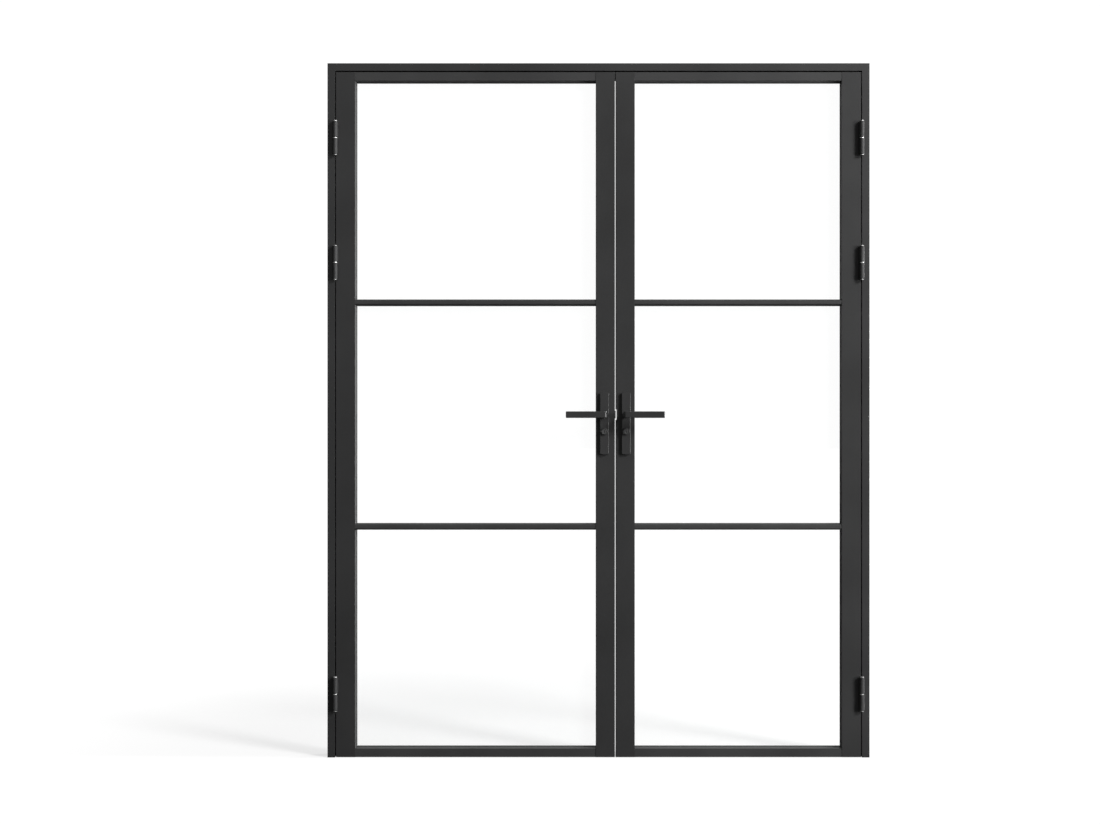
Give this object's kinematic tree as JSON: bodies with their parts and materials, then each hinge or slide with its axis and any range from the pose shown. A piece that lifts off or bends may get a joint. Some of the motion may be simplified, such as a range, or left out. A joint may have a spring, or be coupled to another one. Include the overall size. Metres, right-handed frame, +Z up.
{
  "type": "french doors",
  "caption": "Pair of glazed steel french doors of unequal width in a slim black frame, with barrel hinges, lever handles on plates, a latch, a dead bolt and shoot bolts.",
  "frame": {"origin": "floor line, middle of the frame width, mid thickness of the closed leaves", "axes": "+X to the right seen from the hinge side, +Y to the back, +Z up; the leaves open towards -Y"},
  "size_m": [1.66, 0.166, 2.126],
  "materials": {
    "coat": "satin black powder coat",
    "handle_black": "satin black",
    "bright_steel": "bright",
    "dull_steel": "dull",
    "glass": "clear float glass",
    "rubber": "matt black"
  },
  "bodies": {
    "frame": {"jamb_left": "coat", "jamb_right": "coat", "frame_head": "coat", "stop_left": "coat", "stop_right": "coat", "stop_head": "coat", "frame_seals": "rubber", "frame_knuckles_left": "coat", "frame_knuckles_right": "coat", "hinge_pins": "bright_steel", "hinge_washers": "bright_steel"},
    "leaf_left": {"left_hinge_stile": "coat", "left_meeting_stile": "coat", "left_top_rail": "coat", "left_bottom_rail": "coat", "left_upper_bar": "coat", "left_lower_bar": "coat", "left_glass_top": "glass", "left_glass_middle": "glass", "left_glass_bottom": "glass", "left_beads": "coat", "left_glazing_tape": "rubber", "left_knuckles": "coat", "left_plate_front": "handle_black", "left_plate_rear": "handle_black", "left_screws": "dull_steel", "left_forend": "bright_steel", "left_lock_case": "dull_steel", "left_cylinder": "handle_black"},
    "lever_left": {"left_lever_front": "handle_black", "left_lever_rear": "handle_black", "left_spindle": "dull_steel"},
    "plug_left": {"left_plug": "dull_steel"},
    "latch": {"latch_bolt": "bright_steel"},
    "dead_lock": {"dead_bolt": "bright_steel"},
    "leaf_right": {"right_hinge_stile": "coat", "right_meeting_stile": "coat", "right_top_rail": "coat", "right_bottom_rail": "coat", "right_upper_bar": "coat", "right_lower_bar": "coat", "right_glass_top": "glass", "right_glass_middle": "glass", "right_glass_bottom": "glass", "right_beads": "coat", "right_glazing_tape": "rubber", "right_knuckles": "coat", "right_plate_front": "handle_black", "right_plate_rear": "handle_black", "right_screws": "dull_steel", "right_gear_case": "dull_steel", "right_cylinder": "handle_black", "latch_keep": "bright_steel", "dead_bolt_keep": "bright_steel"},
    "lever_right": {"right_lever_front": "handle_black", "right_lever_rear": "handle_black", "right_spindle": "dull_steel"},
    "plug_right": {"right_plug": "dull_steel"},
    "upper_rod": {"top_bolt": "bright_steel"},
    "lower_rod": {"bottom_bolt": "bright_steel"}
  },
  "joints": [
    {"name": "leaf_left_swing", "type": "hinge", "parent": "frame", "child": "leaf_left", "pos_m": [-0.8055, -0.0335, 0], "axis": [0, 0, -1], "range_deg": [0, 170]},
    {"name": "leaf_right_swing", "type": "hinge", "parent": "frame", "child": "leaf_right", "pos_m": [0.8055, -0.0335, 0], "axis": [0, 0, 1], "range_deg": [0, 170]},
    {"name": "lever_left_turn", "type": "hinge", "parent": "leaf_left", "child": "lever_left", "pos_m": [0.01795, 0, 1.05], "axis": [0, -1, 0], "range_deg": [0, 45], "stiffness_Nm_per_rad": 0.8, "springref_deg": -57.3},
    {"name": "lever_right_turn", "type": "hinge", "parent": "leaf_right", "child": "lever_right", "pos_m": [0.08445, 0, 1.05], "axis": [0, -1, 0], "range_deg": [0, 45]},
    {"name": "plug_left_turn", "type": "hinge", "parent": "leaf_left", "child": "plug_left", "pos_m": [0.01795, 0, 0.998], "axis": [0, 1, 0], "range_deg": [0, 360]},
    {"name": "plug_right_turn", "type": "hinge", "parent": "leaf_right", "child": "plug_right", "pos_m": [0.08445, 0, 0.998], "axis": [0, 1, 0], "range_deg": [0, 360]},
    {"name": "latch_slide", "type": "slide", "parent": "leaf_left", "child": "latch", "axis": [-1, 0, 0], "range_m": [0, 0.0036]},
    {"name": "dead_bolt_slide", "type": "slide", "parent": "leaf_left", "child": "dead_lock", "axis": [1, 0, 0], "range_m": [0, 0.01]},
    {"name": "top_bolt_slide", "type": "slide", "parent": "leaf_right", "child": "upper_rod", "axis": [0, 0, 1], "range_m": [0, 0.0151]},
    {"name": "bottom_bolt_slide", "type": "slide", "parent": "leaf_right", "child": "lower_rod", "axis": [0, 0, -1], "range_m": [0, 0.0151]}
  ],
  "couplings": [
    {"joint": "latch_slide", "follows": "lever_left_turn", "m_per_rad": 0.004456},
    {"joint": "plug_left_turn", "follows": "dead_bolt_slide", "rad_per_m": 628},
    {"joint": "top_bolt_slide", "follows": "lever_right_turn", "m_per_rad": 0.0191},
    {"joint": "bottom_bolt_slide", "follows": "lever_right_turn", "m_per_rad": 0.0191}
  ]
}
